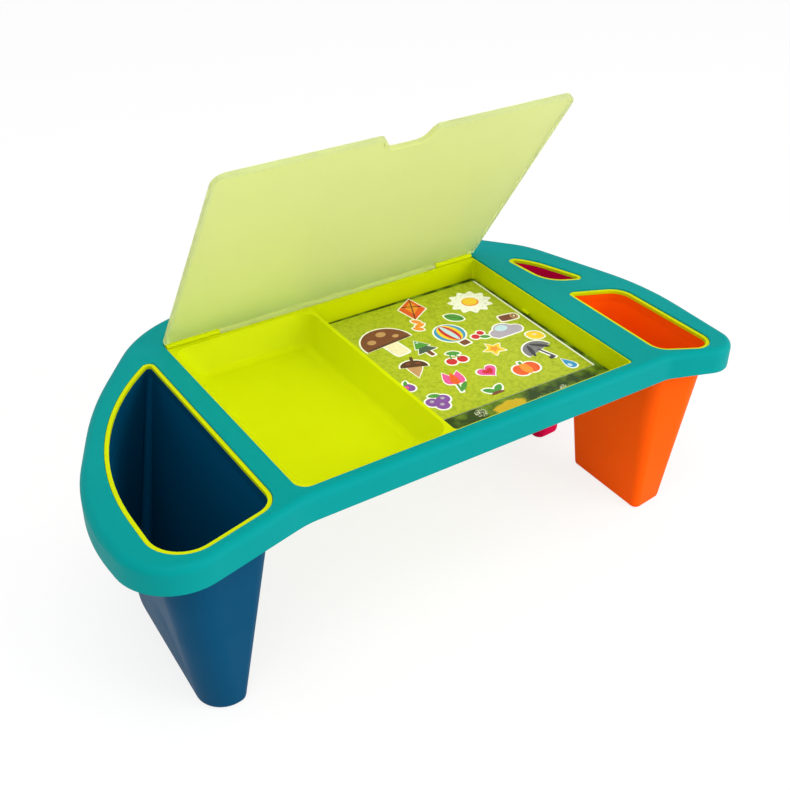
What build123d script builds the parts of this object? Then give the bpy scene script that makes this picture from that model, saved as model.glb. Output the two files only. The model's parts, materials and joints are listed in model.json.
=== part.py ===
from build123d import *
import os
from math import cos, hypot, radians, sin

# Lap desk with a lift lid: a moulded top frame, a storage tray under it, three tapered bins that
# hang in the frame and stand on the table as legs, and a lid that hinges at the rear of the tray.
# Lengths are millimetres and angles are degrees. Plans are drawn from the middle of the tray
# opening, with x to the right and y to the rear. Heights are from the table.
os.makedirs("parts", exist_ok=True)

# Top frame
desk_height = 168.0
skirt_height = 22.0
skirt_wall = 2.8
deck = 3.0
rim_round = 6.0
opening_round = 1.0
collar_wall = 2.5
collar_height = 8.4
rib_wall = 1.6
rib_pitch = 42.0

# Tray opening, and the bars of the frame round it
opening_width = 304.2
opening_depth = 222.0
tray_corner = 10.0
sharp_corner = 3.0
front_bar = 11.0
rear_bar = 41.7
side_bar = 17.2
near_bar = 28.0

# Storage tray
panel = 3.0
panel_fit = 0.4
ring_gap = 0.3
ring_wall = 1.1
rim_step = 1.2
lip_depth = 2.6
ledge = 1.3
rear_ledge = 13.0
shelf = 4.8
tray_wall = 2.0
left_drop = 24.0
right_drop = 20.8
divider_left = -24.8
divider_right = -21.6
divider_slope = 13.0
left_draft = 14.0
right_draft = 0.6
left_corner = 14.0
left_floor_round = 8.0
right_corner = 3.0
tab_length = 9.0
tab_reach = 2.4
tab_gap = 0.4
tab_height = 1.8
tab_y = 19.0

# Bins
cup_wall = 1.6
cup_floor = 3.2
cup_fit = 0.3
flange = 2.5
flange_reach = 9.6
flange_fit = 0.4
foot_round = 3.0
foot_turns = (0, 30, 60, 90)
foot_rim = 4.0
foot_recess = 1.2

# Lid and hinge
rest_opening = 57.7
lid_over_left = 0.4
lid_over_right = 2.4
lid_over_front = 5.0
lid_rest = 0.3
lid_thick = 4.0
lid_panel = 2.8
lip_wall = 2.4
lid_corner = 10.0
hinge_drop = 0.6
hinge_setback = 5.9
roll_radius = 2.4
left_knuckle = 47.5
right_knuckle = 40.7
knuckle_inset = 0.6
knuckle_gap = 0.4
knuckle_web = 3.6
channel_gap = 0.5
rear_reach = 1.0
rear_step = 1.8
rear_inset = 2.2
notch_middle = 2.6
notch_width = 44.0
notch_depth = 14.5
notch_slope = 6.0
notch_shoulder = 6.0
notch_round = 11.0
mark_x = -48.6
mark_reach = 108.0
mark_radius = 3.0
mark_height = 0.4
pin_radius = 1.0
pin_fit = 0.05
pin_reach = 8.0
pin_inset = 0.5

# Screws
screw_radius = 1.5
screw_fit = 0.25
screw_bite = 4.5
screw_reach = 6.2
head_radius = 3.0
head_height = 2.0
boss_radius = 3.2
recess_length = 3.2
recess_width = 0.9
recess_depth = 1.2
tray_screw_end = 38.0
tray_screw_pitch = 78.0
tray_screw_back = 14.0

# Loose sheets in the right compartment
board_fit = 1.0
board_thick = 1.6
sheet_width = 154.0
sheet_length = 168.0
sheet_thick = 0.4
sheet_right = 5.9
sheet_rear = 4.4
sheet_turn = -0.8
under_shift = 2.2


def on_left(gap):
    """x at a distance to the left of the tray opening."""
    return -opening_width / 2 - gap


def on_right(gap):
    """x at a distance to the right of the tray opening."""
    return opening_width / 2 + gap


def behind(gap):
    """y at a distance behind the tray opening."""
    return opening_depth / 2 + gap


def ahead(gap):
    """y at a distance in front of the tray opening."""
    return -opening_depth / 2 - gap


def box_corners(left, right, front, rear, radius):
    """Corners of an upright rectangle with one corner radius."""
    return [(left, rear, radius), (left, front, radius), (right, front, radius), (right, rear, radius)]


def rounded(corners, grow=0.0):
    """Closed plan with rounded corners, each (x, y, radius), grown all round or shrunk."""
    with BuildSketch() as plan:
        with BuildLine():
            points = [(x, y) for x, y, _ in corners]
            FilletPolyline(*points, radius=[radius for *_, radius in corners], close=True)
        make_face()
        if grow:
            offset(amount=grow)
    return plan.sketch


def beside(opening, side, share, reach):
    """Place off one side of an opening, at a share of its length and a reach outwards."""
    x0, y0, _ = opening[side]
    x1, y1, _ = opening[(side + 1) % len(opening)]
    length = hypot(x1 - x0, y1 - y0)
    x = x0 + share * (x1 - x0) + reach * (y1 - y0) / length
    y = y0 + share * (y1 - y0) - reach * (x1 - x0) / length
    return (x, y)


# Outline of the frame: wings with round shoulders on both sides, drawn out to the front corners
outline = [
    (on_left(1.5), behind(rear_bar), 110),
    (on_left(81.4), behind(-52.2), 300),
    (on_left(134.5), ahead(-65.5), 170),
    (on_left(127.1), ahead(41), 43),
    (on_left(0.5), ahead(front_bar), 70),
    (on_right(31.3), ahead(front_bar), 20),
    (on_right(96.3), ahead(33.7), 20.7),
    (on_right(100.1), ahead(-89.4), 209),
    (on_right(59.7), behind(-16.6), 80),
    (on_right(8.3), behind(rear_bar), 60),
]

# Openings of the frame, each counterclockwise
tray_opening = [
    (on_left(0), behind(0), sharp_corner),
    (on_left(0), ahead(0), tray_corner),
    (on_right(0), ahead(0), sharp_corner),
    (on_right(0), behind(0), sharp_corner),
]
left_opening = [
    (on_left(side_bar), behind(-13.3), 6),
    (on_left(side_bar + 92.1), ahead(-135.4), 214),
    (on_left(side_bar + 92.4), ahead(27.1), 27.8),
    (on_left(side_bar), ahead(4), 20),
]
front_opening = [
    (on_right(near_bar), behind(-104.9), 6),
    (on_right(near_bar), ahead(-2), 18.3),
    (on_right(79.7), ahead(25.5), 14.8),
    (on_right(76.6), behind(-125.4), 21.6),
]
rear_opening = [
    (on_right(20.7), behind(-19.4), 6),
    (on_right(near_bar - 1), behind(-82.1), 31.9),
    (on_right(65.3), behind(-100.1), 6),
    (on_right(43.2), behind(-43), 75.2),
]
cup_openings = [left_opening, front_opening, rear_opening]

# Feet of the bins at the table
left_foot = [
    (on_left(50.5), behind(-27), 7),
    (on_left(77.5), behind(-82.5), 113),
    (on_left(84.4), ahead(10), 21),
    (on_left(50.5), ahead(5.5), 8),
]
front_foot = [
    (on_right(32.1), behind(-130.2), 6.3),
    (on_right(32.1), ahead(-1), 6),
    (on_right(68.9), ahead(-5.5), 7.8),
    (on_right(52.2), behind(-144.7), 12),
]
rear_foot = [
    (on_right(26.4), behind(-36), 6),
    (on_right(26.4), behind(-93.2), 8),
    (on_right(60.7), behind(-90.9), 10.7),
    (on_right(46.7), behind(-50.9), 30),
]

# Screw places, round each opening and along the rear bar
left_screws = [
    beside(left_opening, 0, 0.35, screw_reach),
    beside(left_opening, 1, 0.55, screw_reach),
    beside(left_opening, 3, 0.2, screw_reach),
    beside(left_opening, 3, 0.8, screw_reach),
]
front_screws = [
    beside(front_opening, 0, 0.15, screw_reach),
    beside(front_opening, 0, 0.75, screw_reach),
    beside(front_opening, 2, 0.35, screw_reach),
    beside(front_opening, 2, 0.8, screw_reach),
]
rear_screws = [
    beside(rear_opening, 0, 0.4, screw_reach),
    beside(rear_opening, 2, 0.5, screw_reach),
    beside(rear_opening, 3, 0.5, screw_reach),
]
cup_screw_places = left_screws + front_screws + rear_screws
tray_screw_places = [
    (on_left(-tray_screw_end), behind(tray_screw_back)),
    (on_left(-tray_screw_end - tray_screw_pitch), behind(tray_screw_back)),
    (on_right(-tray_screw_end - tray_screw_pitch), behind(tray_screw_back)),
    (on_right(-tray_screw_end), behind(tray_screw_back)),
]

# Heights
panel_top = desk_height - collar_height
rim = panel_top - panel
rim_top = desk_height - rim_step
lip_under = rim_top - lip_depth
left_floor = desk_height - left_drop
right_floor = desk_height - right_drop

# Insets from the openings of the frame to the bore of the rings and to the mouths of the bins
ring_bore = ring_gap + ring_wall
cup_skin = ring_bore + cup_fit
cup_bore = cup_skin + cup_wall

# Compartments of the storage tray, at their mouths and at their floors
left_mouth = box_corners(on_left(-ledge), divider_left, ahead(-ledge), behind(-rear_ledge), left_corner)
left_base = box_corners(
    on_left(-ledge - left_draft),
    divider_left - divider_slope,
    ahead(-ledge - left_draft),
    behind(-rear_ledge - left_draft),
    left_corner,
)
right_mouth = box_corners(divider_right, on_right(-ledge), ahead(-ledge), behind(-rear_ledge), right_corner)
right_base = box_corners(
    divider_right + right_draft,
    on_right(-ledge - right_draft),
    ahead(-ledge - right_draft),
    behind(-rear_ledge - right_draft),
    right_corner,
)
compartments = [(left_mouth, left_base, left_floor), (right_mouth, right_base, right_floor)]
tray_reach = tray_wall + flange_fit
tray_outside = box_corners(
    on_left(-ledge + tray_reach),
    on_right(-ledge + tray_reach),
    ahead(-ledge + tray_reach),
    behind(-rear_ledge + tray_reach),
    right_corner,
)

# The reference point is the middle of the frame's footprint, on the table
footprint = rounded(outline).bounding_box()
middle_x = -(footprint.min.X + footprint.max.X) / 2
middle_y = -(footprint.min.Y + footprint.max.Y) / 2
hinge_y = behind(-hinge_setback)
hinge_z = desk_height - hinge_drop

# The knuckles fill the ends of the hinge line, and the roll of the lid runs between them
left_knuckles = (on_left(-knuckle_inset), on_left(-left_knuckle))
right_knuckles = (on_right(-right_knuckle), on_right(-knuckle_inset))


def level(height):
    """Flat drawing plane at a height, centred on the tray opening."""
    return Plane(origin=(middle_x, middle_y, height))


def hinge_section(x):
    """Drawing plane across the hinge line, looking along it, with its origin on the line."""
    return Plane(origin=(middle_x + x, middle_y + hinge_y, hinge_z), x_dir=(0, 1, 0), z_dir=(1, 0, 0))


def hinge_rod(start, end, radius, mode=Mode.ADD):
    """Round bar or bore along the hinge line, from one x to another."""
    with BuildSketch(hinge_section(start)) as section:
        Circle(radius)
    extrude(section.sketch, amount=end - start, mode=mode)


# Top frame: a rounded cap over a skirt, open below
with BuildPart() as top_frame:
    with BuildSketch(level(desk_height - skirt_height)):
        add(rounded(outline))
    extrude(amount=skirt_height)
    fillet(top_frame.edges().group_by(Axis.Z)[-1], rim_round)
    with BuildSketch(level(desk_height - skirt_height)):
        add(rounded(outline, -skirt_wall))
    extrude(amount=skirt_height - deck, mode=Mode.SUBTRACT)
    deck_edges = top_frame.edges().filter_by_position(
        Axis.Z, desk_height - deck, desk_height - deck
    )
    fillet(deck_edges, rim_round - skirt_wall)
    # Collars round the openings, ribs from collar to skirt, and screw bosses
    with BuildSketch(level(panel_top)):
        for opening in [tray_opening, *cup_openings]:
            add(rounded(opening, collar_wall))
        with Locations(*cup_screw_places, *tray_screw_places):
            Circle(boss_radius)
        rib_count = int((footprint.size.X - 2 * rim_round) / rib_pitch)
        with GridLocations(rib_pitch, 0, rib_count, 1):
            Rectangle(rib_wall, 2 * opening_depth)
        add(rounded(outline, -skirt_wall / 2), mode=Mode.INTERSECT)
    extrude(amount=collar_height - deck)
    with BuildSketch(level(panel_top)):
        for opening in [tray_opening, *cup_openings]:
            add(rounded(opening))
    extrude(amount=collar_height, mode=Mode.SUBTRACT)
    opening_edges = top_frame.faces().sort_by(Axis.Z)[-1].inner_wires().edges()
    fillet(opening_edges, opening_round)
    with BuildSketch(level(panel_top)):
        with Locations(*cup_screw_places, *tray_screw_places):
            Circle(screw_radius)
    extrude(amount=screw_bite, mode=Mode.SUBTRACT)
top_frame.part.label = "top_frame"
export_step(top_frame.part, "parts/top_frame.step")

# Storage tray: compartments that rise into the tray opening, and a panel with a ring for each bin
with BuildPart() as storage_tray:
    for mouth, base, floor in compartments:
        with BuildSketch(level(rim_top)):
            add(rounded(mouth, tray_wall))
        with BuildSketch(level(floor - tray_wall)):
            add(rounded(base, tray_wall))
        loft(ruled=True)
    with BuildSketch(level(panel_top)):
        add(rounded(outline))
        add(rounded(tray_opening, -ring_gap), mode=Mode.SUBTRACT)
    extrude(amount=collar_height, mode=Mode.SUBTRACT)
    with BuildSketch(level(rim_top - shelf)):
        add(rounded(tray_opening, -ring_gap))
    extrude(amount=shelf)
    with BuildSketch(level(rim)):
        add(rounded(tray_opening, -ring_gap))
        add(rounded(tray_opening, -ring_bore), mode=Mode.SUBTRACT)
    extrude(amount=rim_top - rim)
    for mouth, base, floor in compartments:
        with BuildSketch(level(rim_top)):
            add(rounded(mouth))
        with BuildSketch(level(floor)):
            add(rounded(base))
        loft(ruled=True, mode=Mode.SUBTRACT)
    floor_edges = storage_tray.edges().filter_by_position(Axis.Z, left_floor, left_floor)
    fillet(floor_edges, left_floor_round)
    # Panel under the frame, with a lipped ring in the opening of each bin
    with BuildSketch(level(rim)):
        add(rounded(outline, -skirt_wall - panel_fit))
        add(rounded(tray_opening, -ring_gap), mode=Mode.SUBTRACT)
        with Locations(*cup_screw_places, *tray_screw_places):
            Circle(screw_radius + screw_fit, mode=Mode.SUBTRACT)
    extrude(amount=panel)
    with BuildSketch(level(panel_top)):
        for opening in cup_openings:
            add(rounded(opening, -ring_gap))
    extrude(amount=rim_top - panel_top)
    with BuildSketch(level(rim)):
        for opening in cup_openings:
            add(rounded(opening, -ring_bore))
    extrude(amount=lip_under - rim, mode=Mode.SUBTRACT)
    with BuildSketch(level(rim)):
        for opening in cup_openings:
            add(rounded(opening, -cup_bore))
    extrude(amount=rim_top - rim, mode=Mode.SUBTRACT)
    # Channel for the roll of the lid, and the knuckles that carry it
    channel_front = hinge_y - roll_radius - channel_gap
    channel_floor = hinge_z - roll_radius - channel_gap
    with BuildSketch(level(channel_floor)):
        with Locations((0, (channel_front + behind(0)) / 2)):
            Rectangle(opening_width, behind(0) - channel_front)
    extrude(amount=rim_top - channel_floor, mode=Mode.SUBTRACT)
    for start, end in [left_knuckles, right_knuckles]:
        with BuildSketch(hinge_section(start)):
            Circle(roll_radius)
            with Locations((0, -roll_radius)):
                Rectangle(knuckle_web, 2 * roll_radius)
            Circle(pin_radius, mode=Mode.SUBTRACT)
        extrude(amount=end - start)
    # Tab that holds the card down at the foot of the right wall
    with BuildSketch(level(right_floor + board_thick + 2 * sheet_thick + tab_gap)):
        with Locations((on_right(-ledge - right_draft), tab_y)):
            Rectangle(2 * tab_reach, tab_length)
    extrude(amount=tab_height)
storage_tray.part.label = "storage_tray"
export_step(storage_tray.part, "parts/storage_tray.step")


def tapered_bin(opening, foot, screws):
    """Bin that hangs by a flange under the tray and tapers down to a closed foot on the table."""
    with BuildPart() as cup:
        with BuildSketch(level(rim)):
            add(rounded(opening, -cup_skin))
        for turn in foot_turns:
            with BuildSketch(level(foot_round * (1 - sin(radians(turn))))):
                add(rounded(foot, foot_round * (cos(radians(turn)) - 1)))
        loft(ruled=True)
        with BuildSketch(level(0)):
            add(rounded(foot, -foot_rim))
        extrude(amount=foot_recess, mode=Mode.SUBTRACT)
        with BuildSketch(level(rim - flange)):
            add(rounded(opening, flange_reach))
            add(rounded(outline, -skirt_wall - flange_fit), mode=Mode.INTERSECT)
            add(rounded(tray_outside), mode=Mode.SUBTRACT)
            with Locations(*screws):
                Circle(screw_radius + screw_fit, mode=Mode.SUBTRACT)
        extrude(amount=flange)
        with BuildSketch(level(rim)):
            add(rounded(opening, -cup_skin))
        extrude(amount=lip_under - cup_fit - rim)
        with BuildSketch(level(rim)):
            add(rounded(opening, -cup_bore))
        extrude(amount=lip_under - rim, mode=Mode.SUBTRACT)
        with BuildSketch(level(rim)):
            add(rounded(opening, -cup_bore))
        with BuildSketch(level(cup_floor)):
            add(rounded(foot, -cup_wall))
        loft(ruled=True, mode=Mode.SUBTRACT)
    return cup


def screw_group(places, seat):
    """Pan-head screws driven upwards, with their heads under a seat height."""
    with BuildPart() as screws:
        with BuildSketch(level(seat - head_height)):
            with Locations(*places):
                Circle(head_radius)
        extrude(amount=head_height)
        with BuildSketch(level(seat)):
            with Locations(*places):
                Circle(screw_radius)
        extrude(amount=panel_top + screw_bite - seat)
        with BuildSketch(level(seat - head_height)):
            with Locations(*places):
                Rectangle(recess_length, recess_width)
                Rectangle(recess_width, recess_length)
        extrude(amount=recess_depth, mode=Mode.SUBTRACT)
    return screws


left_cup = tapered_bin(left_opening, left_foot, left_screws)
left_cup.part.label = "left_cup"
export_step(left_cup.part, "parts/left_cup.step")

front_right_cup = tapered_bin(front_opening, front_foot, front_screws)
front_right_cup.part.label = "front_right_cup"
export_step(front_right_cup.part, "parts/front_right_cup.step")

rear_right_cup = tapered_bin(rear_opening, rear_foot, rear_screws)
rear_right_cup.part.label = "rear_right_cup"
export_step(rear_right_cup.part, "parts/rear_right_cup.step")

cup_screws = screw_group(cup_screw_places, rim - flange)
cup_screws.part.label = "cup_screws"
export_step(cup_screws.part, "parts/cup_screws.step")

tray_screws = screw_group(tray_screw_places, rim)
tray_screws.part.label = "tray_screws"
export_step(tray_screws.part, "parts/tray_screws.step")

# Lid, drawn from the hinge line in its open position: y = 0 on the line, negative to the front edge
lid_left = on_left(lid_over_left)
lid_right = on_right(lid_over_right)
lid_front = ahead(lid_over_front) - hinge_y
lip_bottom = hinge_drop + lid_rest
lid_top = lip_bottom + lid_thick
notch_left = notch_middle - notch_width / 2
notch_right = notch_middle + notch_width / 2
lid_outline = [
    (on_left(-rear_inset), rear_reach, 0),
    (on_left(-rear_inset), -rear_step, 0),
    (lid_left, -rear_step, 0),
    (lid_left, lid_front, lid_corner),
    (notch_left, lid_front, notch_shoulder),
    (notch_left + notch_slope, lid_front + notch_depth, notch_round),
    (notch_right - notch_slope, lid_front + notch_depth, notch_round),
    (notch_right, lid_front, notch_shoulder),
    (lid_right, lid_front, lid_corner),
    (lid_right, -rear_step, 0),
    (on_right(-rear_inset), -rear_step, 0),
    (on_right(-rear_inset), rear_reach, 0),
]
lid_plane = Plane(
    origin=(middle_x, middle_y + hinge_y, hinge_z),
    x_dir=(1, 0, 0),
    z_dir=(0, sin(radians(rest_opening)), cos(radians(rest_opening))),
)

with BuildPart() as lift_lid:
    with BuildSketch(lid_plane.offset(lip_bottom)):
        add(rounded(lid_outline))
    extrude(amount=lid_thick)
    with BuildSketch(lid_plane.offset(lip_bottom)):
        add(rounded(lid_outline, -lip_wall))
        with Locations((0, rear_reach - lid_corner / 2)):
            Rectangle(opening_width - 2 * (rear_inset + lip_wall), lid_corner)
    extrude(amount=lid_thick - lid_panel, mode=Mode.SUBTRACT)
    with BuildSketch(lid_plane.offset(lid_top - lid_panel - mark_height)):
        with Locations((mark_x, -mark_reach)):
            Circle(mark_radius)
    extrude(amount=mark_height)
    relief = roll_radius + knuckle_gap
    hinge_rod(lid_left, left_knuckles[1] + knuckle_gap, relief, Mode.SUBTRACT)
    hinge_rod(right_knuckles[0] - knuckle_gap, lid_right, relief, Mode.SUBTRACT)
    hinge_rod(left_knuckles[1] + knuckle_gap, right_knuckles[0] - knuckle_gap, roll_radius)
    bore = pin_radius + pin_fit
    hinge_rod(left_knuckles[1], left_knuckles[1] + pin_reach + pin_inset, bore, Mode.SUBTRACT)
    hinge_rod(right_knuckles[0] - pin_reach - pin_inset, right_knuckles[0], bore, Mode.SUBTRACT)
lift_lid.part.label = "lift_lid"
export_step(lift_lid.part, "parts/lift_lid.step")

with BuildPart() as hinge_pin_left:
    hinge_rod(left_knuckles[0] + pin_inset, left_knuckles[1] + pin_reach, pin_radius)
hinge_pin_left.part.label = "hinge_pin_left"
export_step(hinge_pin_left.part, "parts/hinge_pin_left.step")

with BuildPart() as hinge_pin_right:
    hinge_rod(right_knuckles[0] - pin_reach, right_knuckles[1] - pin_inset, pin_radius)
hinge_pin_right.part.label = "hinge_pin_right"
export_step(hinge_pin_right.part, "parts/hinge_pin_right.step")

# Loose sheets: a card that fills the compartment's floor, and two smaller sheets on it
board_left = divider_right + right_draft + board_fit
board_right = on_right(-ledge - right_draft - board_fit)
board_front = ahead(-ledge - right_draft - board_fit)
board_rear = behind(-rear_ledge - right_draft - board_fit)
sheet_x = board_right - sheet_right - sheet_width / 2
sheet_y = board_rear - sheet_rear - sheet_length / 2

with BuildPart() as activity_board:
    with BuildSketch(level(right_floor)):
        add(rounded(box_corners(board_left, board_right, board_front, board_rear, right_corner)))
    extrude(amount=board_thick)
activity_board.part.label = "activity_board"
export_step(activity_board.part, "parts/activity_board.step")

with BuildPart() as second_sheet:
    with BuildSketch(level(right_floor + board_thick)):
        with Locations(Location((sheet_x + under_shift, sheet_y, 0), (0, 0, sheet_turn))):
            Rectangle(sheet_width, sheet_length)
    extrude(amount=sheet_thick)
second_sheet.part.label = "second_sheet"
export_step(second_sheet.part, "parts/second_sheet.step")

with BuildPart() as sticker_sheet:
    with BuildSketch(level(right_floor + board_thick + sheet_thick)):
        with Locations(Location((sheet_x, sheet_y, 0), (0, 0, sheet_turn))):
            Rectangle(sheet_width, sheet_length)
    extrude(amount=sheet_thick)
sticker_sheet.part.label = "sticker_sheet"
export_step(sticker_sheet.part, "parts/sticker_sheet.step")
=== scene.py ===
import json
from math import cos, hypot, pi, radians, sin

import bmesh
import bpy
from mathutils import Matrix, Vector


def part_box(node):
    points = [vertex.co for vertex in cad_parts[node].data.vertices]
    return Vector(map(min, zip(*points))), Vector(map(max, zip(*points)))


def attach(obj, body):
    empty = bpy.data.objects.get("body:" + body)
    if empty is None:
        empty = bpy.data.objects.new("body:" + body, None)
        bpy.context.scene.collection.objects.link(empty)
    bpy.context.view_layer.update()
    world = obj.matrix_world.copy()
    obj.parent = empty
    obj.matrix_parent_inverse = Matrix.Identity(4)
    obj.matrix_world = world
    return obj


bl_info = {
    "name": "Lap desk finish",
    "version": (1, 0, 0),
    "blender": (4, 5, 0),
    "location": "View3D > Sidebar > Lap desk",
    "description": "Dresses the lap desk with plastics, a frosted lid, printed card and stickers",
    "category": "Object",
}

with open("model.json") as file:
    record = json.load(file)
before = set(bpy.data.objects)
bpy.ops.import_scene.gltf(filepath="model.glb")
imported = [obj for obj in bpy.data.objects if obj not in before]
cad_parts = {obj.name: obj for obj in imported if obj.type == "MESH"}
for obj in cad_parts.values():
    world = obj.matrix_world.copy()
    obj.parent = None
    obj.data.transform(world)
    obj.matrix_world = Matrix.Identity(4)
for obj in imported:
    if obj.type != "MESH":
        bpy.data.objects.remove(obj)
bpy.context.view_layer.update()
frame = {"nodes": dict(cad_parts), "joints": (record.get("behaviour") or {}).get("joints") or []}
NODES = frame["nodes"]
HINGE = frame["joints"][0]["pos_m"]
MM = 0.001
WHITE = (1.0, 1.0, 1.0, 1.0)


def srgb(red, green, blue):
    """Linear colour of a colour named by its 0 to 255 screen values."""

    def linear(value):
        part = value / 255
        return part / 12.92 if part <= 0.04045 else ((part + 0.055) / 1.055) ** 2.4

    return (linear(red), linear(green), linear(blue), 1.0)


def colour(name, description, default):
    """Colour property with its alpha."""
    return bpy.props.FloatVectorProperty(
        name=name,
        description=description,
        subtype="COLOR",
        size=4,
        min=0.0,
        max=1.0,
        default=default,
    )


def point(name, description, default):
    """Place property in metres."""
    return bpy.props.FloatVectorProperty(
        name=name, description=description, subtype="TRANSLATION", size=3, default=default
    )


def length(name, description, default):
    """Length property in metres."""
    return bpy.props.FloatProperty(
        name=name, description=description, unit="LENGTH", default=default
    )


def angle(name, description, default):
    """Angle property, given in degrees."""
    return bpy.props.FloatProperty(
        name=name, description=description, subtype="ANGLE", default=radians(default)
    )


def factor(name, description, default):
    """Property between 0 and 1."""
    return bpy.props.FloatProperty(
        name=name, description=description, subtype="FACTOR", min=0.0, max=1.0, default=default
    )


def power(name, description, default):
    """Lamp power in watts."""
    return bpy.props.FloatProperty(
        name=name, description=description, subtype="POWER", default=default
    )


class PlasticFinish(bpy.types.PropertyGroup):
    """Colours and finish of the moulded pieces."""

    frame: colour("Top frame", "Teal of the top frame", srgb(0, 142, 140))
    tray: colour("Storage tray", "Lime of the tray under the lid", srgb(202, 214, 0))
    left_bin: colour("Left bin", "Blue of the long bin", srgb(0, 70, 105))
    front_bin: colour("Front right bin", "Orange of the front bin", srgb(252, 90, 4))
    rear_bin: colour("Rear right bin", "Magenta of the rear bin", srgb(205, 4, 74))
    shade: factor("Shade", "Light left in the clouded patches", 0.6)
    cloud: factor("Clouds", "How strongly the clouded patches show", 0.16)
    rough: factor("Roughness", "Least roughness of the plastic", 0.42)
    grain: factor("Grain", "Strength of the fine grain", 0.05)
    shine: factor("Shine", "Strength of the soft gloss on the moulded pieces", 0.035)


class LidFinish(bpy.types.PropertyGroup):
    """Finish of the frosted lid."""

    body: colour("Body", "Pale lime of the frosted panel", srgb(248, 254, 180))
    # The edge colour and its band are painted light, a paler strip where light gathers along the
    # lid's edges.
    edge: colour("Edge", "Paler lime where light gathers along the edges", srgb(240, 248, 190))
    band: length("Edge band", "Width of the paler strip along the edges", 2.6 * MM)
    clear: factor("Clearness", "Share of the light that passes through", 0.8)
    shade: factor("Shade", "Light left in the clouded patches", 0.8)
    cloud: factor("Clouds", "How strongly the clouded patches show", 0.12)
    rough: factor("Roughness", "Least roughness of the frosted panel", 0.5)
    grain: factor("Grain", "Strength of the fine grain", 0.06)
    shine: factor("Shine", "Strength of the soft gloss on the lid", 0.3)


class SteelFinish(bpy.types.PropertyGroup):
    """Finish of the pins and screws."""

    bright: colour("Bright", "Colour of the clean steel", srgb(196, 198, 200))
    dull: colour("Dull", "Colour of the clouded steel", srgb(120, 122, 124))
    cloud: factor("Clouds", "How strongly the clouded patches show", 0.3)
    rough: factor("Roughness", "Least roughness of the steel", 0.28)
    grain: factor("Grain", "Strength of the fine grain", 0.1)
    shine: factor("Shine", "Strength of the reflections at the rim", 0.5)


class PrintSettings(bpy.types.PropertyGroup):
    """Printed card, papers and stickers."""

    meadow_dark: colour("Meadow shade", "Darkest green of the printed card", srgb(38, 62, 8))
    meadow_light: colour("Meadow light", "Brightest green of the printed card", srgb(112, 142, 26))
    path: colour("Path", "Yellow of the path on the printed card", srgb(205, 172, 24))
    blossom: colour("Blossom", "Pale tufts on the printed card", srgb(222, 226, 196))
    paper: colour("Paper", "White of the second sheet", srgb(238, 240, 236))
    sheet: colour("Sticker sheet", "Yellow green of the sticker sheet", srgb(176, 188, 34))
    sheet_fleck: colour("Sheet flecks", "Deeper green flecks of the sheet", srgb(146, 164, 24))
    border: length("Border", "White rim around each sticker", 1.5 * MM)
    rim_thick: length("Sticker thickness", "Thickness of a sticker's white rim", 0.12 * MM)
    rim_step: length("Rim step", "Height between the rims of one sticker's pieces", 0.004 * MM)
    ink_thick: length("Ink thickness", "Height that each printed layer adds", 0.05 * MM)
    turn: angle("Sheet turn", "Turn of the sticker sheet in its compartment", -0.8)


class StageSettings(bpy.types.PropertyGroup):
    """Camera, lamps and floor."""

    aim: point("Aim", "Point that the camera looks at", (-18.42 * MM, -55.73 * MM, 168.0 * MM))
    distance: length("Distance", "Camera's distance from its aim", 886.6 * MM)
    azimuth: angle("Azimuth", "Camera's turn about the desk, from the front", -34.25)
    elevation: angle("Elevation", "Camera's height above the horizon", 33.92)
    roll: angle("Roll", "Camera's tilt about its own line of sight", 1.13)
    lens: bpy.props.FloatProperty(
        name="Lens",
        description="Focal length on a 36 mm wide frame, in millimetres",
        default=53.5,
        min=1.0,
    )
    floor: colour("Floor", "Colour of the floor", srgb(252, 252, 252))
    floor_reach: length("Floor reach", "Half the width of the floor", 30.0)
    backdrop: factor("Backdrop", "How much of the floor is seen as plain white", 0.8)
    key_place: point("Key place", "Large lamp's place from the aim", (-0.5, -0.7, 2.0))
    key_size: length("Key size", "Side of the large lamp", 1.6)
    key_power: power("Key lamp", "Power of the large lamp above the desk", 22.0)
    fill_place: point("Fill place", "Low lamp's place from the aim", (1.3, -1.6, 0.6))
    fill_size: length("Fill size", "Side of the low lamp", 1.4)
    fill_power: power("Fill lamp", "Power of the low lamp at the front right", 25.0)
    sky: bpy.props.FloatProperty(
        name="Sky", description="Strength of the even light from all round", default=0.75, min=0.0
    )


def add_node(tree, kind, inputs=None, **settings):
    """New node with its settings and the values of its inputs."""
    node = tree.nodes.new(kind)
    for key, value in settings.items():
        setattr(node, key, value)
    for key, value in (inputs or {}).items():
        node.inputs[key].default_value = value
    return node


def feed(tree, socket, value):
    """Links an output socket to an input, or sets the input's plain value."""
    if isinstance(value, bpy.types.NodeSocket):
        tree.links.new(value, socket)
    else:
        socket.default_value = value


def mix(tree, share, first, second):
    """Colour mix of output sockets or plain values. A Mix node repeats its sockets' names."""
    node = add_node(tree, "ShaderNodeMix", data_type="RGBA")
    ends = [socket for socket in node.inputs if socket.type == "RGBA"]
    for socket, value in zip((node.inputs["Factor"], *ends), (share, first, second)):
        feed(tree, socket, value)
    return next(socket for socket in node.outputs if socket.type == "RGBA")


def maths(tree, operation, *values):
    """Math node over output sockets or plain values."""
    node = add_node(tree, "ShaderNodeMath", operation=operation)
    for socket, value in zip(node.inputs, values):
        feed(tree, socket, value)
    return node.outputs["Value"]


def ramp(tree, value, start, end, low=0.0, high=1.0):
    """Clamped ramp of a value, from low at start to high at end."""
    limits = {"From Min": start, "From Max": end, "To Min": low, "To Max": high}
    node = add_node(tree, "ShaderNodeMapRange", limits)
    feed(tree, node.inputs["Value"], value)
    return node.outputs["Result"]


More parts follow.
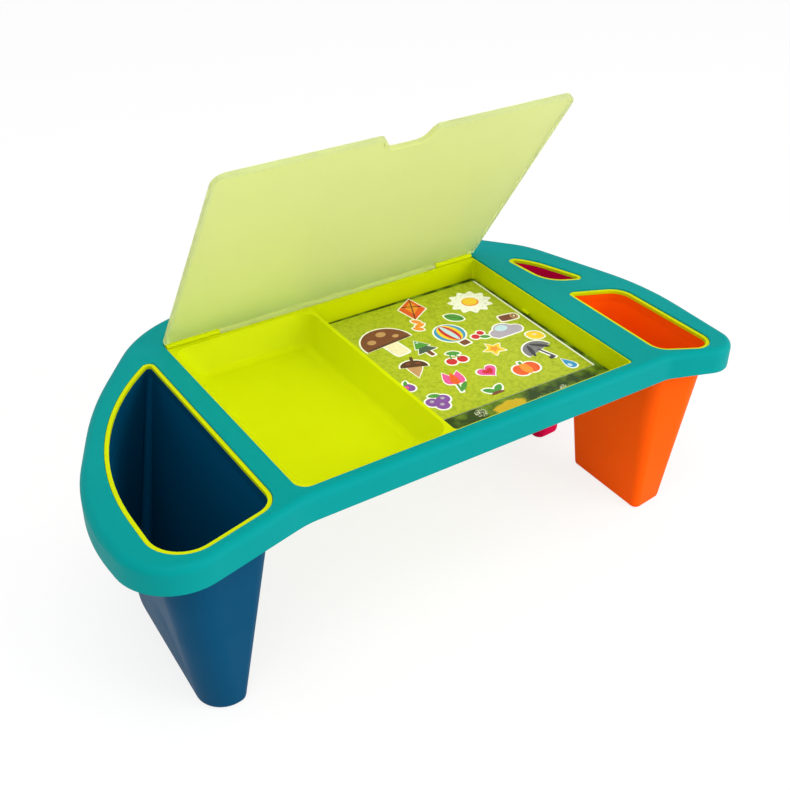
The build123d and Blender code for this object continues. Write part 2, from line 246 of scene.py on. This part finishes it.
def noise(tree, scale, detail=2.0):
    """Noise on the object's own coordinates."""
    place = add_node(tree, "ShaderNodeTexCoord")
    node = add_node(tree, "ShaderNodeTexNoise", {"Detail": detail})
    feed(tree, node.inputs["Scale"], scale)
    tree.links.new(place.outputs["Object"], node.inputs["Vector"])
    return node.outputs["Fac"]


def effect_group(name, inputs, outputs, fill):
    """Node group that is built once. fill adds its nodes and returns a value for each output."""
    group = bpy.data.node_groups.get(name)
    if group:
        return group
    group = bpy.data.node_groups.new(name, "ShaderNodeTree")
    for key, default in inputs.items():
        kind = "NodeSocketColor" if isinstance(default, tuple) else "NodeSocketFloat"
        socket = group.interface.new_socket(key, in_out="INPUT", socket_type=kind)
        socket.default_value = default
    for key, kind in outputs.items():
        group.interface.new_socket(key, in_out="OUTPUT", socket_type=kind)
    given = add_node(group, "NodeGroupInput")
    out = add_node(group, "NodeGroupOutput")
    for key, value in fill(group, given.outputs).items():
        feed(group, out.inputs[key], value)
    return group


# Noise scales are in features per metre. A fade is the pair of noise values between which a mask
# sets in, and a dulling is the roughness that the mask adds.
GRAIN_DEPTH = 0.2 * MM
CLOUD_SCALE, CLOUD_FADE, CLOUD_DULLING = 9.0, (0.3, 0.7), 0.10
RUB_SCALE, RUB_FADE, RUB_DULLING = 34.0, (0.56, 0.72), 0.07
FLECK_FADE, FLECK_DULLING = (0.42, 0.66), 0.08
TOOTH_SCALE = 2200.0
FINISH_OUTPUTS = {
    "Colour": "NodeSocketColor",
    "Roughness": "NodeSocketFloat",
    "Height": "NodeSocketFloat",
}


def moulded_group():
    """Moulded plastic: faint clouds of colour and gloss, rubbed patches and a fine grain."""

    def fill(tree, given):
        cloud = ramp(tree, noise(tree, CLOUD_SCALE, detail=3.0), *CLOUD_FADE)
        rubbed = ramp(tree, noise(tree, RUB_SCALE, detail=4.0), *RUB_FADE)
        tint = maths(tree, "MULTIPLY", cloud, given["Cloud"])
        shaded = mix(tree, tint, given["Colour"], given["Shade"])
        rough = maths(tree, "MULTIPLY_ADD", cloud, CLOUD_DULLING, given["Least Roughness"])
        worn = maths(tree, "MULTIPLY_ADD", rubbed, RUB_DULLING, rough)
        return {"Colour": shaded, "Roughness": worn, "Height": noise(tree, given["Grain Scale"])}

    inputs = {
        "Colour": (0.5, 0.5, 0.5, 1.0),
        "Shade": (0.0, 0.0, 0.0, 1.0),
        "Cloud": 0.06,
        "Least Roughness": 0.4,
        "Grain Scale": 900.0,
    }
    return effect_group("moulded_plastic", inputs, FINISH_OUTPUTS, fill)


def printed_group():
    """Printed paper: flecks of a second ink, faint shading and the tooth of the paper."""

    def fill(tree, given):
        fleck = ramp(tree, noise(tree, given["Fleck Scale"], detail=4.0), *FLECK_FADE)
        share = maths(tree, "MULTIPLY", fleck, given["Flecks"])
        inked = mix(tree, share, given["Colour"], given["Fleck Colour"])
        rough = maths(tree, "MULTIPLY_ADD", fleck, FLECK_DULLING, given["Least Roughness"])
        return {"Colour": inked, "Roughness": rough, "Height": noise(tree, TOOTH_SCALE)}

    inputs = {
        "Colour": (0.5, 0.5, 0.5, 1.0),
        "Fleck Colour": (0.4, 0.4, 0.4, 1.0),
        "Flecks": 0.4,
        "Fleck Scale": 260.0,
        "Least Roughness": 0.45,
    }
    return effect_group("printed_paper", inputs, FINISH_OUTPUTS, fill)


def finish(name, group, values, depth, shine, overlay=None):
    """Material with its colour, roughness and bump from an effect group.

    overlay(tree, colour) may add a pattern over the group's colour.
    """
    material = bpy.data.materials.new(name)
    material.use_nodes = True
    tree = material.node_tree
    shader = tree.nodes["Principled BSDF"]
    shader.inputs["Specular IOR Level"].default_value = shine
    effect = add_node(tree, "ShaderNodeGroup")
    effect.node_tree = group
    for key, value in values.items():
        feed(tree, effect.inputs[key], value)
    bump = add_node(tree, "ShaderNodeBump", {"Strength": depth, "Distance": GRAIN_DEPTH})
    tinted = effect.outputs["Colour"]
    tree.links.new(overlay(tree, tinted) if overlay else tinted, shader.inputs["Base Color"])
    tree.links.new(effect.outputs["Roughness"], shader.inputs["Roughness"])
    tree.links.new(effect.outputs["Height"], bump.inputs["Height"])
    tree.links.new(bump.outputs["Normal"], shader.inputs["Normal"])
    return material


def darker(tint, share):
    """A colour with its light cut to a share."""
    return (tint[0] * share, tint[1] * share, tint[2] * share, 1.0)


def moulded(name, tint, shade, look, overlay=None):
    """Moulded finish with its clouds, roughness, grain and shine from a group of settings."""
    values = {
        "Colour": tuple(tint),
        "Shade": tuple(shade),
        "Cloud": look.cloud,
        "Least Roughness": look.rough,
    }
    return finish(name, moulded_group(), values, look.grain, look.shine, overlay)


PAPER_GRAIN = 0.08
PAPER_SHINE = 0.25
PAPER_SHADE = 0.9
INK_SHADE = 0.78


def paper(name, tint, fleck, flecks, scale, overlay=None):
    """Printed or plain paper, with the strength and the scale of its flecks."""
    values = {
        "Colour": tuple(tint),
        "Fleck Colour": tuple(fleck),
        "Flecks": flecks,
        "Fleck Scale": scale,
    }
    return finish(name, printed_group(), values, PAPER_GRAIN, PAPER_SHINE, overlay)


def dress(node, material):
    """Gives a CAD node one material."""
    mesh = NODES[node].data
    mesh.materials.clear()
    mesh.materials.append(material)


class LAPDESK_OT_plastics(bpy.types.Operator):
    """Dress the moulded frame, tray and bins"""

    bl_idname = "lapdesk.plastics"
    bl_label = "Moulded pieces"

    def execute(self, context):
        look = context.scene.lapdesk_plastics
        for node, name, tint in (
            ("top_frame", "teal_plastic", look.frame),
            ("storage_tray", "lime_plastic", look.tray),
            ("left_cup", "blue_plastic", look.left_bin),
            ("front_right_cup", "orange_plastic", look.front_bin),
            ("rear_right_cup", "magenta_plastic", look.rear_bin),
        ):
            dress(node, moulded(name, tint, darker(tint, look.shade), look))
        return {"FINISHED"}


EDGE_FADE = 0.2


def painted_edge_light(tree, base, look):
    """Painted light: a paler strip along the lid's sides and front edge, over its base colour."""
    low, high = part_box("lift_lid")
    places = [vertex.co for vertex in NODES["lift_lid"].data.vertices]
    reach = max(hypot(place.y - HINGE[1], place.z - HINGE[2]) for place in places)
    coordinates = add_node(tree, "ShaderNodeTexCoord")
    axes = add_node(tree, "ShaderNodeSeparateXYZ")
    tree.links.new(coordinates.outputs["Object"], axes.inputs["Vector"])
    left = maths(tree, "SUBTRACT", axes.outputs["X"], low[0])
    right = maths(tree, "SUBTRACT", high[0], axes.outputs["X"])
    back = maths(tree, "SUBTRACT", axes.outputs["Y"], HINGE[1])
    rise = maths(tree, "SUBTRACT", axes.outputs["Z"], HINGE[2])
    square = maths(tree, "MULTIPLY", back, back)
    span = maths(tree, "SQRT", maths(tree, "MULTIPLY_ADD", rise, rise, square))
    front = maths(tree, "SUBTRACT", reach, span)
    nearest = maths(tree, "MINIMUM", maths(tree, "MINIMUM", left, right), front)
    start, end = look.band * (1 - EDGE_FADE), look.band * (1 + EDGE_FADE)
    mask = ramp(tree, nearest, start, end, 1.0, 0.0)
    return mix(tree, mask, base, tuple(look.edge))


class LAPDESK_OT_lid(bpy.types.Operator):
    """Dress the lid in frosted plastic with painted light along its edges"""

    bl_idname = "lapdesk.lid"
    bl_label = "Frosted lid"

    def execute(self, context):
        look = context.scene.lapdesk_lid
        # The overlay paints light as a paler strip along the lid's edges.
        material = moulded(
            "frosted_lime",
            look.body,
            darker(look.body, look.shade),
            look,
            overlay=lambda tree, base: painted_edge_light(tree, base, look),
        )
        shader = material.node_tree.nodes["Principled BSDF"]
        shader.inputs["Transmission Weight"].default_value = look.clear
        dress("lift_lid", material)
        return {"FINISHED"}


class LAPDESK_OT_fasteners(bpy.types.Operator):
    """Dress the hinge pins and the screws in steel"""

    bl_idname = "lapdesk.fasteners"
    bl_label = "Pins and screws"

    def execute(self, context):
        look = context.scene.lapdesk_steel
        for name, nodes in (
            ("pin_steel", ("hinge_pin_left", "hinge_pin_right")),
            ("screw_steel", ("cup_screws", "tray_screws")),
        ):
            material = moulded(name, look.bright, look.dull, look)
            material.node_tree.nodes["Principled BSDF"].inputs["Metallic"].default_value = 1.0
            for node in nodes:
                dress(node, material)
        return {"FINISHED"}


# Places and half sizes on the card are in millimetres from the part's origin.
PATH_MIDDLE, PATH_HALF = (66.0, -93.0), (17.0, 9.0)
TUFTS = ((40.0, -88.0), (93.0, -100.0), (118.0, -96.0), (150.0, -104.0), (12.0, -70.0))
TUFT_RADIUS = 6.0
PETAL_SCALE, PETAL_FADE = 1300.0, (0.52, 0.58)
# An oval's edge is moved by noise, and its mask fades out between these shares of its half size.
RAGGED_SCALE, RAGGEDNESS = 120.0, 0.9
SPOT_FADE = (1.25, 1.4)


def spot(tree, middle, half, ragged):
    """Mask of an oval with a ragged edge, from its middle and half sizes in millimetres."""
    x, y = (value * MM for value in middle)
    wide, deep = (value * MM for value in half)
    place = add_node(tree, "ShaderNodeTexCoord")
    shift = add_node(
        tree,
        "ShaderNodeMapping",
        {"Location": (-x / wide, -y / deep, 0.0), "Scale": (1 / wide, 1 / deep, 0.0)},
    )
    reach = add_node(tree, "ShaderNodeVectorMath", operation="LENGTH")
    tree.links.new(place.outputs["Object"], shift.inputs["Vector"])
    tree.links.new(shift.outputs["Vector"], reach.inputs[0])
    edge = maths(tree, "MULTIPLY_ADD", ragged, RAGGEDNESS, reach.outputs["Value"])
    return ramp(tree, edge, *SPOT_FADE, 1.0, 0.0)


def meadow(tree, base, look):
    """Path and pale tufts over the greens of the card."""
    ragged = noise(tree, RAGGED_SCALE, detail=3.0)
    tint = mix(tree, spot(tree, PATH_MIDDLE, PATH_HALF, ragged), base, tuple(look.path))
    petal = ramp(tree, noise(tree, PETAL_SCALE, detail=1.0), *PETAL_FADE)
    for middle in TUFTS:
        tuft = spot(tree, middle, (TUFT_RADIUS, TUFT_RADIUS), ragged)
        tint = mix(tree, maths(tree, "MULTIPLY", tuft, petal), tint, tuple(look.blossom))
    return tint


class LAPDESK_OT_papers(bpy.types.Operator):
    """Dress the printed card, the white sheet and the sticker sheet"""

    bl_idname = "lapdesk.papers"
    bl_label = "Card and papers"

    def execute(self, context):
        look = context.scene.lapdesk_print
        card = paper(
            "meadow_card",
            look.meadow_dark,
            look.meadow_light,
            flecks=1.0,
            scale=70.0,
            overlay=lambda tree, base: meadow(tree, base, look),
        )
        dress("activity_board", card)
        grey = darker(look.paper, PAPER_SHADE)
        white = paper("white_paper", look.paper, grey, flecks=0.2, scale=260.0)
        lime = paper("sticker_paper", look.sheet, look.sheet_fleck, flecks=0.8, scale=330.0)
        dress("second_sheet", white)
        dress("sticker_sheet", lime)
        return {"FINISHED"}


def disc(t):
    """Round outline."""
    return cos(t), sin(t)


def petals(count, depth):
    """Outline with round petals."""

    def shape(t):
        reach = 1 - depth + depth * cos(count * (t - pi / 2))
        return reach * cos(t), reach * sin(t)

    return shape


def spiked(count, inner):
    """Star with straight edges, or a polygon where inner is the cosine of half its step."""

    def shape(t):
        step = pi / count
        side = abs((t - pi / 2 + step) % (2 * step) - step)
        reach = inner * sin(step) / (sin(side) + inner * sin(step - side))
        return reach * cos(t), reach * sin(t)

    return shape


def heart(t):
    """Heart outline with its point down."""
    t = t - pi / 2
    along = 13 * cos(t) - 5 * cos(2 * t) - 2 * cos(3 * t) - cos(4 * t)
    return (16 * sin(t) ** 3) / 17, (along + 2) / 17


def drop(t):
    """Drop with its point up."""
    t = t - pi / 2
    return sin(t) * abs(sin(t / 2)) ** 1.5, cos(t)


def leaf(t):
    """Long pointed leaf."""
    t = t - pi / 2
    across = sin(t)
    return across * abs(across) ** 0.4, cos(t)


def dome(t):
    """Upper half of a disc with a soft lower edge."""
    return cos(t), max(sin(t), -0.12)


def block(t):
    """Square with rounded corners."""

    def soften(value):
        return abs(value) ** 0.35 * (1 if value > 0 else -1)

    return soften(cos(t)), soften(sin(t))


INKS = {
    "white": srgb(250, 250, 246), "brown": srgb(122, 66, 48), "umber": srgb(82, 46, 36),
    "tan": srgb(196, 150, 104), "cream": srgb(244, 232, 204), "orange": srgb(232, 92, 40),
    "amber": srgb(244, 150, 50), "yellow": srgb(250, 208, 50), "red": srgb(206, 34, 52),
    "green": srgb(74, 150, 62), "pine": srgb(70, 92, 80), "grey": srgb(122, 120, 126),
    "slate": srgb(62, 60, 70), "lilac": srgb(180, 170, 190), "pink": srgb(230, 84, 156),
    "purple": srgb(132, 76, 164), "blue": srgb(58, 152, 208), "sky": srgb(196, 224, 240),
}

# A sticker is its place on the sheet, its turn, how many of its layers have a white rim, and its
# layers from the sheet upwards. A layer is its ink, outline, centre, half width, half height and
# turn. Lengths are in millimetres and turns in degrees.
OUTLINE_STEPS = 64
STICKERS = {
    "toadstool": ((-48, 34), 6, (2, (
        ("cream", block, (0, -12), 6.5, 12, 0), ("brown", dome, (0, -2), 23, 23, 0),
        ("tan", disc, (-11, 6), 4, 3.4, 0), ("tan", disc, (3, 12), 4.6, 3.8, 0),
        ("tan", disc, (12, 3), 3, 2.4, 0), ("umber", block, (0, -3.6), 21, 1, 0)))),
    "kite": ((-1, 65), -24, (4, (
        ("orange", spiked(4, 0.7071), (0, 4), 12, 18, 0), ("amber", leaf, (0, -18), 2.6, 5, 60),
        ("amber", leaf, (2, -24), 2.6, 5, 120), ("amber", leaf, (0, -30), 2.6, 5, 70),
        ("amber", spiked(4, 0.7071), (0, 6), 6, 11, 0), ("umber", block, (0, 4), 0.5, 17, 0),
        ("umber", block, (0, 8), 9, 0.5, 0)))),
    "daisy": ((52, 53), 0, (1, (
        ("white", petals(11, 0.11), (0, 0), 19.5, 18, 0),
        ("lilac", petals(11, 0.22), (0, 0), 15.5, 14.5, 0),
        ("white", petals(11, 0.2), (0, 0), 15, 14, 0), ("amber", disc, (0, 0), 8, 7.4, 0),
        ("yellow", disc, (0, 0.6), 6.8, 6.2, 0)))),
    "balloon": ((6, 14), 8, (2, (
        ("blue", disc, (0, 4), 13, 14, 0), ("brown", block, (0, -15), 4, 3.4, 0),
        ("yellow", disc, (0, 4), 9.4, 13.4, 0), ("red", disc, (0, 4), 6, 13, 0),
        ("sky", disc, (0, 4), 2.6, 12.6, 0)))),
    "acorn": ((-50, -12), -20, (2, (
        ("tan", drop, (0, -2), 9.5, 13, 180), ("umber", dome, (0, 2), 11.5, 9, 0),
        ("umber", block, (0, 13), 1.4, 3.4, 0), ("brown", disc, (-4, 6), 2.2, 1.6, 0),
        ("brown", disc, (4, 6), 2.2, 1.6, 0)))),
    "cloud": ((49, -3), 0, (4, (
        ("lilac", disc, (-8, -1), 7.5, 6.5, 0), ("lilac", disc, (0, 3), 9, 8.5, 0),
        ("lilac", disc, (9, -1), 7, 6, 0), ("lilac", block, (0, -4), 13, 3.4, 0),
        ("sky", disc, (-1, 5), 6, 4.6, 0)))),
    "cherries": ((-14, -16), 0, (3, (
        ("red", disc, (-5, -4), 4.6, 4.6, 0), ("red", disc, (5, -5), 4.6, 4.6, 0),
        ("green", leaf, (3, 6), 3, 6, 65), ("green", block, (-2, 2), 0.6, 4.4, -24),
        ("green", block, (3, 2), 0.6, 4.4, 18)))),
    "umbrella": ((54, -42), 18, (2, (
        ("grey", dome, (0, 0), 14, 13, 0), ("slate", block, (0, -8), 1, 9, 0),
        ("slate", leaf, (-6, 3), 2, 9, -32), ("slate", leaf, (6, 3), 2, 9, 32),
        ("slate", disc, (-2.4, -15), 3, 2, 0)))),
    "star": ((23, -22), 12, (1, (
        ("yellow", spiked(5, 0.5), (0, 0), 10.5, 10.5, 0),
        ("amber", spiked(5, 0.5), (0, 0), 5.5, 5.5, 0)))),
    "pine": ((-27, 12), 4, (3, (
        ("brown", block, (0, -12), 2, 4, 0), ("pine", spiked(3, 0.5), (0, -4), 11, 9, 0),
        ("green", spiked(3, 0.5), (0, 3), 8.5, 8, 0), ("sky", disc, (0, 7), 1.2, 1.2, 0)))),
    "tulip": ((-33, -44), -14, (3, (
        ("green", block, (0, -9), 1, 8, 0), ("pink", drop, (-4.5, 4), 7, 9, 12),
        ("pink", drop, (4.5, 4), 7, 9, -12), ("orange", drop, (0, 3), 5.4, 9, 0),
        ("green", leaf, (4, -10), 2.2, 7, -32)))),
    "grapes": ((-61, -63), 0, (4, (
        ("purple", disc, (-5, 2), 5.6, 5.6, 0), ("purple", disc, (5, 2), 5.6, 5.6, 0),
        ("purple", disc, (0, -5), 5.6, 5.6, 0), ("green", leaf, (1, 9), 2.6, 5, 70),
        ("lilac", disc, (-5, 3), 1.8, 1.6, 0), ("lilac", disc, (5, 3), 1.8, 1.6, 0),
        ("lilac", disc, (0, -4), 1.8, 1.6, 0)))),
    "heart": ((-2, -48), 10, (1, (
        ("pink", heart, (0, 0), 9.5, 9, 0), ("red", heart, (0, 0), 5.4, 5, 0)))),
    "pumpkin": ((27, -60), 0, (3, (
        ("orange", disc, (-5, 0), 7, 7.6, 0), ("orange", disc, (5, 0), 7, 7.6, 0),
        ("green", block, (0, 8), 1.4, 3, -12), ("amber", disc, (0, 0), 4.4, 7.4, 0)))),
    "plum": ((-70, -34), 16, (2, (
        ("purple", disc, (0, 0), 4.6, 5.4, 0), ("green", leaf, (2, 6), 1.6, 3.6, -50),
        ("pink", disc, (-1.2, 1.4), 1.6, 2.2, 0)))),
    "log": ((64, 14), -8, (2, (
        ("brown", block, (0, 0), 7.5, 4.6, 0), ("tan", disc, (6.5, 0), 3.6, 4.6, 0),
        ("brown", disc, (6.5, 0), 2, 2.8, 0), ("cream", disc, (6.5, 0), 1, 1.5, 0)))),
    "leaf": ((24, 38), 40, (1, (
        ("green", leaf, (0, 0), 5.5, 9, 0), ("pine", block, (0, 0), 0.4, 8, 0)))),
    "sprout": ((-14, -72), 0, (2, (
        ("green", leaf, (-4, 1), 3, 6, 50), ("green", leaf, (4, 1), 3, 6, -50),
        ("brown", dome, (0, -5), 6, 3, 0)))),
    "raindrop": ((62, -71), 10, (1, (
        ("blue", drop, (0, 0), 6, 8, 0), ("sky", disc, (-1.6, -3), 1.6, 2.4, 0)))),
    "lemon": ((66, -22), -24, (1, (
        ("yellow", leaf, (0, 0), 6.4, 8, 70), ("cream", disc, (0, 1), 2, 1.4, 0)))),
    "berries": ((25, 2), 0, (3, (
        ("red", disc, (-4, 0), 3.6, 3.6, 0), ("red", disc, (3, 3), 3.2, 3.2, 0),
        ("green", leaf, (3, -4), 2.4, 4.6, 60)))),
}


def turned(middle, turn):
    """Matrix that turns by degrees and then moves to a middle in millimetres."""
    across, along = (value * MM for value in middle)
    return Matrix.Translation((across, along, 0.0)) @ Matrix.Rotation(radians(turn), 4, "Z")


class LAPDESK_OT_stickers(bpy.types.Operator):
    """Stack the die-cut stickers on their sheet"""

    bl_idname = "lapdesk.stickers"
    bl_label = "Stickers"

    def execute(self, context):
        look = context.scene.lapdesk_print
        low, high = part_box("sticker_sheet")
        top = ((low[0] + high[0]) / 2, (low[1] + high[1]) / 2, high[2])
        sheet = Matrix.Translation(top) @ Matrix.Rotation(look.turn, 4, "Z")
        inks = {
            name: paper("ink_" + name, tint, darker(tint, INK_SHADE), flecks=0.5, scale=420.0)
            for name, tint in INKS.items()
        }
        for name, (middle, turn, (rimmed, layers)) in STICKERS.items():
            self.make_sticker(name, sheet @ turned(middle, turn), rimmed, layers, inks, look)
        return {"FINISHED"}

    def make_sticker(self, name, place, rimmed, layers, inks, look):
        """One sticker: the white rims of its first layers, then its printed layers."""
        used = list(dict.fromkeys(["white", *(layer[0] for layer in layers)]))
        shape = bmesh.new()
        for index, layer in enumerate(layers[:rimmed]):
            top = look.rim_thick + index * look.rim_step
            self.add_layer(shape, layer, look.border, 0.0, top, used.index("white"))
        for index, layer in enumerate(layers):
            top = look.rim_thick + (index + 1) * look.ink_thick
            self.add_layer(shape, layer, 0.0, look.rim_thick / 2, top, used.index(layer[0]))
        bmesh.ops.recalc_face_normals(shape, faces=shape.faces)
        bmesh.ops.transform(shape, matrix=place, verts=shape.verts)
        mesh = bpy.data.meshes.new("sticker_" + name)
        shape.to_mesh(mesh)
        shape.free()
        for ink in used:
            mesh.materials.append(inks[ink])
        sticker = bpy.data.objects.new("sticker_" + name, mesh)
        bpy.context.scene.collection.objects.link(sticker)
        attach(sticker, "desk")

    def add_layer(self, shape, layer, grow, bottom, top, slot):
        """Thin slab with the layer's outline, grown by a margin."""
        _, outline, centre, wide, tall, turn = layer
        circle = bmesh.ops.create_circle(shape, cap_ends=True, segments=OUTLINE_STEPS, radius=1.0)
        rim = circle["verts"]
        for index, vert in enumerate(rim):
            across, along = outline(index / OUTLINE_STEPS * 2 * pi)
            vert.co = (across * (wide * MM + grow), along * (tall * MM + grow), bottom)
        raised = bmesh.ops.extrude_face_region(shape, geom=[rim[0].link_faces[0]])["geom"]
        lifted = [item for item in raised if isinstance(item, bmesh.types.BMVert)]
        bmesh.ops.translate(shape, vec=(0.0, 0.0, top - bottom), verts=lifted)
        slab = [*rim, *lifted]
        bmesh.ops.transform(shape, matrix=turned(centre, turn), verts=slab)
        for vert in slab:
            for face in vert.link_faces:
                face.material_index = slot


def area_lamp(name, place, aim, size, energy):
    """Soft square lamp that faces a point."""
    data = bpy.data.lights.new(name, "AREA")
    data.shape = "SQUARE"
    data.size = size
    data.energy = energy
    lamp = bpy.data.objects.new(name, data)
    lamp.location = place
    lamp.rotation_mode = "QUATERNION"
    lamp.rotation_quaternion = (aim - place).to_track_quat("-Z", "Y")
    bpy.context.scene.collection.objects.link(lamp)


def seen_directly(tree):
    """1 for what the camera, a reflection or a clear piece sees, 0 for the light on the desk."""
    path = add_node(tree, "ShaderNodeLightPath").outputs
    seen = maths(tree, "MAXIMUM", path["Is Camera Ray"], path["Is Glossy Ray"])
    return maths(tree, "MAXIMUM", seen, path["Is Transmission Ray"])


class LAPDESK_OT_stage(bpy.types.Operator):
    """Set up the floor, the lamps, the world and the camera"""

    bl_idname = "lapdesk.stage"
    bl_label = "Stage"

    def execute(self, context):
        stage = context.scene.lapdesk_stage
        self.make_floor(stage)
        self.make_world(context, stage)
        aim = Vector(stage.aim)
        key, fill = aim + Vector(stage.key_place), aim + Vector(stage.fill_place)
        area_lamp("key_lamp", key, aim, stage.key_size, stage.key_power)
        area_lamp("fill_lamp", fill, aim, stage.fill_size, stage.fill_power)
        self.make_camera(context, stage)
        context.scene.view_settings.view_transform = "Standard"
        return {"FINISHED"}

    def make_floor(self, stage):
        """Wide plain floor under the desk, partly plain white to the eye."""
        shape = bmesh.new()
        bmesh.ops.create_grid(shape, x_segments=1, y_segments=1, size=stage.floor_reach)
        mesh = bpy.data.meshes.new("floor")
        shape.to_mesh(mesh)
        shape.free()
        floor = bpy.data.objects.new("floor", mesh)
        bpy.context.scene.collection.objects.link(floor)
        material = bpy.data.materials.new("floor_paper")
        material.use_nodes = True
        tree = material.node_tree
        shader = tree.nodes["Principled BSDF"]
        shader.inputs["Base Color"].default_value = stage.floor
        shader.inputs["Roughness"].default_value = 0.9
        shader.inputs["Specular IOR Level"].default_value = 0.0
        glow = add_node(tree, "ShaderNodeEmission", {"Color": WHITE, "Strength": 1.0})
        blend = add_node(tree, "ShaderNodeMixShader")
        share = maths(tree, "MULTIPLY", seen_directly(tree), stage.backdrop)
        tree.links.new(share, blend.inputs["Fac"])
        tree.links.new(shader.outputs["BSDF"], blend.inputs[1])
        tree.links.new(glow.outputs["Emission"], blend.inputs[2])
        tree.links.new(blend.outputs["Shader"], tree.nodes["Material Output"].inputs["Surface"])
        mesh.materials.append(material)

    def make_world(self, context, stage):
        """Even light, and white where the camera or a reflection sees past the floor."""
        world = bpy.data.worlds.new("studio")
        world.use_nodes = True
        context.scene.world = world
        tree = world.node_tree
        sky = tree.nodes["Background"]
        sky.inputs["Color"].default_value = WHITE
        strength = ramp(tree, seen_directly(tree), 0.0, 1.0, stage.sky, 1.0)
        tree.links.new(strength, sky.inputs["Strength"])

    def make_camera(self, context, stage):
        """Camera on a sphere round its aim, rolled about its line of sight."""
        flat = cos(stage.elevation)
        back = Vector((sin(stage.azimuth) * flat, -cos(stage.azimuth) * flat, sin(stage.elevation)))
        side = Vector((cos(stage.azimuth), sin(stage.azimuth), 0.0))
        up = back.cross(side)
        right = cos(stage.roll) * side + sin(stage.roll) * up
        top = cos(stage.roll) * up - sin(stage.roll) * side
        data = bpy.data.cameras.new("camera")
        data.lens = stage.lens
        camera = bpy.data.objects.new("camera", data)
        camera.rotation_mode = "QUATERNION"
        camera.rotation_quaternion = Matrix((right, top, back)).transposed().to_quaternion()
        camera.location = Vector(stage.aim) + back * stage.distance
        context.scene.collection.objects.link(camera)
        context.scene.camera = camera


class LAPDESK_PT_panel(bpy.types.Panel):
    """Sizes, colours and steps of the desk's finish"""

    bl_idname = "LAPDESK_PT_panel"
    bl_label = "Lap desk"
    bl_space_type = "VIEW_3D"
    bl_region_type = "UI"
    bl_category = "Lap desk"

    def draw(self, context):
        for group in GROUPS:
            box = self.layout.box()
            settings = getattr(context.scene, group)
            for name in settings.__annotations__:
                box.prop(settings, name)
        for step in STEPS:
            self.layout.operator(step.bl_idname)


STEPS = (
    LAPDESK_OT_plastics,
    LAPDESK_OT_lid,
    LAPDESK_OT_fasteners,
    LAPDESK_OT_papers,
    LAPDESK_OT_stickers,
    LAPDESK_OT_stage,
)
GROUPS = {
    "lapdesk_plastics": PlasticFinish,
    "lapdesk_lid": LidFinish,
    "lapdesk_steel": SteelFinish,
    "lapdesk_print": PrintSettings,
    "lapdesk_stage": StageSettings,
}


def register():
    for name, group in GROUPS.items():
        bpy.utils.register_class(group)
        setattr(bpy.types.Scene, name, bpy.props.PointerProperty(type=group))
    for step in STEPS:
        bpy.utils.register_class(step)
    bpy.utils.register_class(LAPDESK_PT_panel)


def unregister():
    bpy.utils.unregister_class(LAPDESK_PT_panel)
    for step in reversed(STEPS):
        bpy.utils.unregister_class(step)
    for name, group in reversed(GROUPS.items()):
        delattr(bpy.types.Scene, name)
        bpy.utils.unregister_class(group)


def main():
    register()
    for step in STEPS:
        family, name = step.bl_idname.split(".")
        getattr(getattr(bpy.ops, family), name)()


if __name__ == "__main__":
    main()
